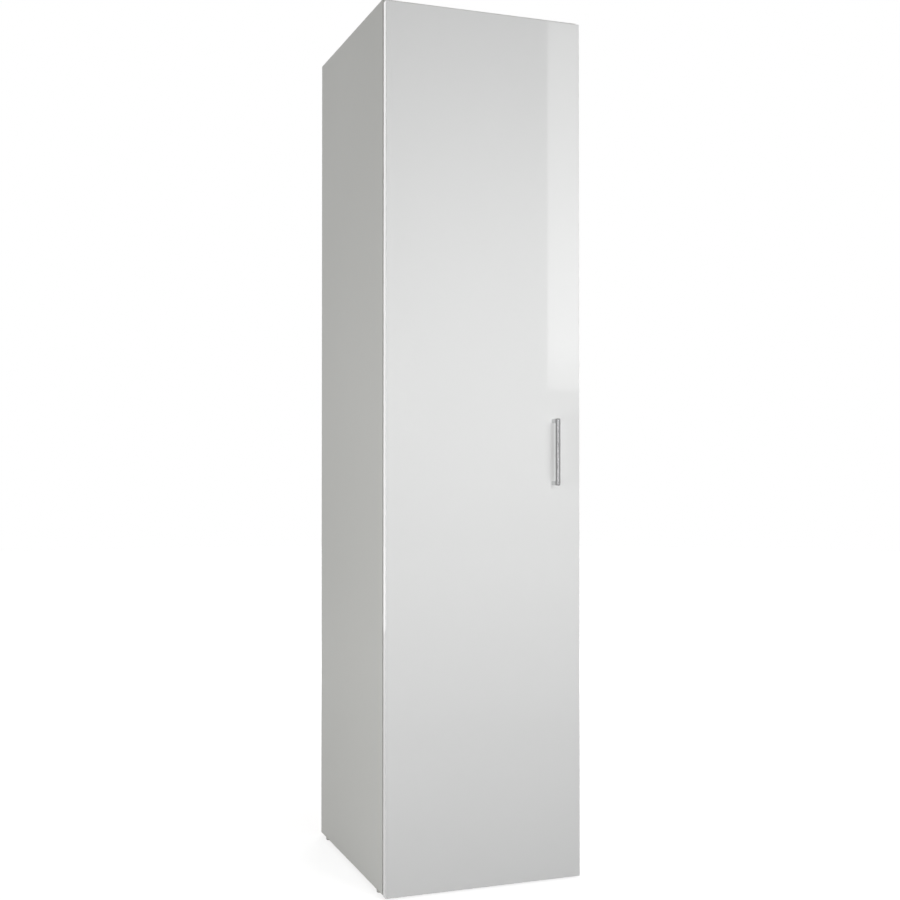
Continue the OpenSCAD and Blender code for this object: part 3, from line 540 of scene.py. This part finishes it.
def screws(name, node, body, places, head, rise, shank, length, recess):
    """Cross-recessed screws in metres. A head of this radius stands by rise over its seat, or sinks
    in as a cone where rise is 0. Round the axis the recess has the outline of a plus, r = w / sin a
    along its arms, where w is half their width, and r = recess at their ends, and it narrows towards
    its floor. places are (point of the seat, direction of the head, turn)."""
    arm_half, rim_soft, cone_edge, tip_length = 0.24 * recess, 0.00002, 0.0001, 0.001
    end = math.asin(arm_half / recess)
    part = np.array([-math.pi / 4, -0.6, -0.4, -end, 0.0, end, 0.4, 0.6])
    turns = (part[None, :] + np.arange(4)[:, None] * math.pi / 2).ravel()
    across = np.minimum(recess, arm_half / np.maximum(np.abs(np.sin(np.tile(part, 4))), 1e-9))
    floor = np.minimum(0.45 * recess, 0.62 * across)
    flat = np.ones_like(turns)
    # rings of (radius, height): the recess and its rim, the head's face, its side, the shank, the tip
    rings = [(floor, rise - 0.75 * recess), (across, rise - rim_soft), (across + 3 * rim_soft, rise),
             (flat * head * 0.86, rise * 0.95), (flat * head * 0.96, rise * 0.82 - rim_soft)]
    if rise:
        rings += [(flat * head, rise * 0.55), (flat * head, 0.0), (flat * shank, 0.0)]
    else:
        rings += [(flat * head, -cone_edge), (flat * shank, shank - head - cone_edge)]
    rings += [(flat * shank, tip_length - length), (flat * shank * 0.3, -length)]
    local = [[0.0, 0.0, rise - 0.8 * recess]]
    for radius, height in rings:
        local += np.column_stack([radius * np.cos(turns), radius * np.sin(turns), flat * height]).tolist()
    local = np.array(local + [[0.0, 0.0, -length]])
    ring_faces = tube_faces(len(rings), len(turns))
    points, faces = [], []
    for seat, way, turn in places:
        way = np.array(way, float)
        side = np.cross(way, (0.0, 0.0, 1.0) if abs(way[2]) < 0.5 else (1.0, 0.0, 0.0))
        other = np.cross(way, side)
        first = side * math.cos(turn) + other * math.sin(turn)
        base = np.array([first, np.cross(way, first), way])
        faces += [tuple(i + len(local) * len(points) for i in face) for face in ring_faces]
        points.append(local @ base + np.array(seat))
    return piece(name, np.concatenate(points), faces, zinc, body, "screw_steel", node)


wood_head, wood_shank, pan_rise = 0.0033, 0.00175, 0.0018
# a rail socket's two screws sit on its flange, above and below the rail
low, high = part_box("clothes_rail")
rail_y, rail_z = (low[1] + high[1]) / 2, (low[2] + high[2]) / 2
flange_thick, screw_off = 0.003, 0.022
seat_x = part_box("rail_socket_left")[0][0] + flange_thick
screws("rail_screw_set", "rail_screws", "carcass",
       [((s * -seat_x, rail_y, rail_z + k * screw_off), (-s, 0, 0), 0.3 + k + 0.7 * s)
        for s in (-1, 1) for k in (-1, 1)],
       head=wood_head, rise=0.0, shank=wood_shank, length=0.0145, recess=0.0021)
# a wall bracket's two screws stand side by side with their heads down
low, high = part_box("bracket_screws")
seat_y, seat_z = (low[1] + high[1]) / 2, low[2] + pan_rise
bracket_x, screw_off = 0.150, 0.006
screws("bracket_screw_set", "bracket_screws", "carcass",
       [((s * bracket_x + k * screw_off, seat_y, seat_z), (0, 0, -1), 0.4 * k + s)
        for s in (-1, 1) for k in (-1, 1)],
       head=wood_head, rise=pan_rise, shank=wood_shank, length=0.0140, recess=0.0019)

# Dowels and glides
# Beech dowels lie hidden in the joints, with their grain along X. Four plastic glides under the side
# panels carry the wardrobe.
beech, tree, shader = surface("beech", IOR=1.45)
dark_beech, light_beech, fleck_brown = (0.50, 0.31, 0.16, 1), (0.74, 0.55, 0.35, 1), (0.36, 0.20, 0.10, 1)
drawn = between(tree, "MULTIPLY", here(tree), (30.0, 420.0, 420.0))
grain = noise(tree, drawn, 2.0, 5.0)
fleck = lay(tree, "ShaderNodeTexVoronoi", {"Vector": drawn, "Scale": 2.4}).outputs["Distance"]
fleck = ranged(tree, fleck, 0.05, 0.2, 0.5, 0.0)
colour = mixed(tree, fleck, mixed(tree, grain, dark_beech, light_beech), fleck_brown)
rough = sum_of(tree, "MULTIPLY_ADD", grain, 0.2, 0.55)
feed(tree, shader, colour, rough, grain, strength=0.4, deep=0.0003)
dress(beech, "dowels", "plinth_dowels")
moulded("glide_plastic", (0.74, 0.74, 0.72, 1), 0.5, "glides")

# Hinges
# Each of the four cup hinges is a real four-bar linkage: a cast plate, a pressed arm and cup and two
# pressed links, all nickel plated, on zinc plated pins.
metal("plate_nickel", (0.60, 0.59, 0.57, 1), 0.30, *[f"hinge_plate_{i}" for i in range(1, 5)],
      depth=0.5, cloud=0.15, spots=0.3)
metal("arm_nickel", (0.66, 0.65, 0.62, 1), 0.20, *[f"hinge_arm_{i}" for i in range(1, 5)],
      *[f"hinge_cup_{i}" for i in range(1, 5)], marks=(30, 6, 60), depth=0.25, cloud=0.08)
metal("link_nickel", (0.58, 0.57, 0.55, 1), 0.30, *[f"long_link_{i}" for i in range(1, 5)],
      *[f"short_link_{i}" for i in range(1, 5)], marks=(50, 50, 8), depth=0.4)

# a hinge's screws have their seats at u in from the side panel's face and v back from its front edge
face_u, front_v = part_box("hinge_plate_1")[0][0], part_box("side_panel_left")[0][1]
levels = [sum(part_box(f"hinge_plate_{i}")[k][2] for k in (0, 1)) / 2 for i in range(1, 5)]
plate_u, plate_v, plate_off = 0.0022, 0.037, 0.016
screws("plate_screw_set", "plate_screws", "carcass",
       [((face_u + plate_u, front_v + plate_v, z + s * plate_off), (1, 0, 0), 1.3 * i + s)
        for i, z in enumerate(levels) for s in (-1, 1)],
       head=wood_head, rise=0.0, shank=wood_shank, length=0.0150, recess=0.0021)
arm_u, arm_places = 0.0152, (0.033, 0.052)
screws("arm_screw_set", "arm_screws", "carcass",
       [((face_u + arm_u, front_v + v, z), (1, 0, 0), 0.9 * i + 20 * v)
        for i, z in enumerate(levels) for v in arm_places],
       head=0.0040, rise=0.0020, shank=0.0025, length=0.0091, recess=0.0023)
cup_u, cup_v, cup_off = 0.0130, -0.0015, 0.024
screws("cup_screw_set", "cup_screws", "door",
       [((face_u + cup_u, front_v + cup_v, z + s * cup_off), (0, 1, 0), 0.8 * i + 0.5 * s)
        for i, z in enumerate(levels) for s in (-1, 1)],
       head=0.0028, rise=0.0, shank=wood_shank, length=0.0128, recess=0.0018)

# Door
# An 18 mm board lacquered white on all sides in high gloss. The long front edges are rounded,
# the cup bores and screw holes show the fibreboard inside.
low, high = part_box("door_panel")
lacquer, tree, shader = surface("gloss_lacquer", IOR=1.5, Coat_Weight=1.0, Coat_Roughness=0.02,
                                Coat_IOR=1.5)
door_white, fibre_brown = (0.83, 0.835, 0.83, 1), (0.42, 0.30, 0.18, 1)
place = here(tree)
spot = use(tree, board_place, {"Place": place, "Low": low, "High": high})
skin = use(tree, even_skin, {"Place": place, "Colour": door_white, "Wander": 0.006, "Grain Scale": 1500.0,
                             "Roughness": 0.06, "Uneven": 0.03, "Edge": spot["Edge"], "Rub": 0.15,
                             "Upward": upward(tree), "Dust": 0.1})
chips = use(tree, chip_core, {"Place": place, "Scale": 1600.0})
felt = mixed(tree, 0.55, chips["Colour"], fibre_brown)
colour = mixed(tree, spot["Core"], skin["Colour"], felt)
rough = shared(tree, spot["Core"], skin["Roughness"], 0.85)
orange_peel = sum_of(tree, "MULTIPLY", noise(tree, place, 160.0, 1.0), 0.006)
relief = shared(tree, spot["Core"], orange_peel, chips["Height"])
feed(tree, shader, colour, rough, relief, strength=0.5, deep=0.0004)
tree.links.new(sum_of(tree, "SUBTRACT", 1.0, spot["Core"]), shader.inputs["Coat Weight"])
dress(lacquer, "door_panel")


def bumpers(node, wall, shoulder, crown, rise):
    """Two round pads turned about Y, one at each end of the box of their node, with its width as
    their diameter. The outline as (radius, distance from the door) is a wall, a shoulder
    r = R - a + a cos t, y = wall + b sin t with the half axes a and b, and a low crown through the
    point crown to the tip at rise."""
    low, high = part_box(node)
    radius, sides = (high[0] - low[0]) / 2, 32
    turn = np.linspace(0, math.pi / 2, 7)
    bent = np.column_stack([radius - shoulder[0] * (1 - np.cos(turn)), wall + shoulder[1] * np.sin(turn)])
    outline = np.concatenate([[[radius, 0.0]], bent, [crown]])
    around = np.linspace(0, 2 * np.pi, sides + 1)[:-1]
    ring = np.column_stack([np.cos(around), np.ones(sides), np.sin(around)])
    rings = ring[None] * outline[:, None, [0, 1, 0]]
    pad = np.concatenate([[[0.0, 0.0, 0.0]], rings.reshape(-1, 3), [[0.0, rise, 0.0]]])
    centres = [(low[0] + radius, low[1], z) for z in (low[2] + radius, high[2] - radius)]
    pad_faces = tube_faces(len(outline), sides)
    points = np.concatenate([pad + np.array(centre) for centre in centres])
    return points, pad_faces + [tuple(i + len(pad) for i in face) for face in pad_faces]


pad_plastic = moulded("bumper_plastic", (0.78, 0.78, 0.76, 1), 0.35, "door_bumpers")
points, faces = bumpers("door_bumpers", wall=0.0007, shoulder=(0.0012, 0.0009), crown=(0.0019, 0.0019),
                        rise=0.002)
piece("bumper_pair", points, faces, pad_plastic, "door", "bumper_plastic", "door_bumpers")

# Handle
# A cast bow of one bar with two legs, plated: the legs are polished, the bar is ground rougher along its
# length and its colour is darkened as painted shade. It is fixed by screws from inside the door.
low, high = (np.array(corner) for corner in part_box("handle"))
middle, extent = (low + high) / 2, high - low
door_front, door_back = (corner[1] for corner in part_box("door_panel"))
bar_depth, leg_thick, corner_bend = 0.012, 0.010, 0.003
# points this share of its radius beside a bend keep the shading of the straight parts flat
beside = 0.15
plated, tree, shader = surface("handle_plated", Metallic=1.0)
# the darker tone is the same plating with painted shade in its colour
plated_tone, painted_shade_bar_tone = (0.60, 0.60, 0.605, 1), (0.285, 0.285, 0.29, 1)
place = here(tree)
bar_back = low[1] + bar_depth
# the bar in front of the legs gets the darker tone, which is painted shade, and the rougher finish
bar_shade_share = ranged(tree, axis_of(tree, place, 1), bar_back, bar_back + 0.001, 1.0, 0.0)
skin = use(tree, metal_skin, {
    "Place": place, "Colour": mixed(tree, bar_shade_share, plated_tone, painted_shade_bar_tone),
    "Roughness": ranged(tree, bar_shade_share, first=0.12, last=0.22),
    "Marks": (120.0, 120.0, 3.0), "Mark Depth": 0.12, "Cloud": 0.05, "Spots": 0.0})
feed(tree, shader, skin["Colour"], skin["Roughness"], skin["Height"], strength=0.5, deep=0.00002)
dress(plated, "handle")


def bow(length, reach, bend):
    """One outline of the bow as (distance from the door, height): out along a leg, round a quarter
    circle, d = reach - bend + bend sin t and h = -length / 2 + bend - bend cos t, along the bar and
    back the same way."""
    leg_points, bar_points = 6, 26
    turn = np.linspace(0, math.pi / 2, 9)
    along = np.r_[np.linspace(0, reach - bend, leg_points)[:-1], reach - (1 + beside) * bend]
    leg = np.column_stack([along, np.full(leg_points, -length / 2)])
    arc = np.column_stack([reach - bend + bend * np.sin(turn), -length / 2 + bend - bend * np.cos(turn)])
    ends = length / 2 - bend
    bar = np.r_[-ends + beside * bend, np.linspace(-ends, ends, bar_points)[1:-1], ends - beside * bend]
    bar = np.column_stack([np.full(bar_points, reach), bar])
    half = np.concatenate([leg, arc])
    return np.concatenate([half, bar, half[::-1] * [1, -1]])


def rounded(width, front, back, crown):
    """Closed section of the bar as (share of its depth, place across). Its corners are quarter circles
    of the radii front and back in metres, and from the middle x = 0 its front half falls back by
    crown times (2 x / width) squared."""
    turn = np.linspace(0, math.pi / 2, 7)
    arc = np.column_stack([np.r_[-beside, np.sin(turn), 1.0], np.r_[1.0, np.cos(turn), -beside]])
    corners = []
    for radius, level, forth, aside in ((front, 1.0, 1, 1), (front, 1.0, 1, -1),
                                        (back, 0.0, -1, -1), (back, 0.0, -1, 1)):
        rise, run = (arc if forth * aside > 0 else arc[::-1]).T
        corners.append(np.column_stack([level - forth * radius / bar_depth * (1 - rise),
                                        aside * (width / 2 - radius * (1 - run))]))
    ring = np.concatenate(corners)
    ring[:, 0] -= crown * (2 * ring[:, 1] / width) ** 2 * (ring[:, 0] > 0.5)
    return ring


reach = door_front - low[1]
outer = bow(extent[2], reach, corner_bend)
inner = bow(extent[2] - 2 * leg_thick, reach - bar_depth, corner_bend)
section = rounded(extent[0], front=0.0024, back=0.0010, crown=0.05)
path = inner[:, None, :] + (outer - inner)[:, None, :] * section[None, :, :1]
across = np.broadcast_to(middle[0] + section[None, :, 1], path.shape[:2])
grid = np.stack([across, door_front - path[..., 0], middle[2] + path[..., 1]], -1)
foot = extent[2] / 2 - leg_thick / 2
feet = [[(middle[0], door_front, middle[2] + s * foot)] for s in (-1, 1)]
points = np.concatenate([feet[0], grid.reshape(-1, 3), feet[1]])
handle = piece("bow_handle", points, tube_faces(len(grid), len(section)), plated, "door", "handle_metal",
               "handle")
low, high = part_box("handle_screws")
seat_x, fixing_head = (low[0] + high[0]) / 2, 0.0040
screws("handle_screw_set", "handle_screws", "door",
       [((seat_x, door_back, z), (0, 1, 0), 1.9 * k)
        for k, z in enumerate((low[2] + fixing_head, high[2] - fixing_head))],
       head=fixing_head, rise=pan_rise, shank=0.0020, length=0.0280, recess=0.0022)

# the handle throws no shadow of the fill and the right box, and the strip lights nothing else
spared = bpy.data.collections.new("spared_by_fill")
spared.objects.link(handle)
spared.collection_objects[0].light_linking.link_state = "EXCLUDE"
front_fill.light_linking.blocker_collection = spared
right_box.light_linking.blocker_collection = spared
only_handle = bpy.data.collections.new("lit_by_strip")
only_handle.objects.link(handle)
handle_strip.light_linking.receiver_collection = only_handle

low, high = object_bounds()
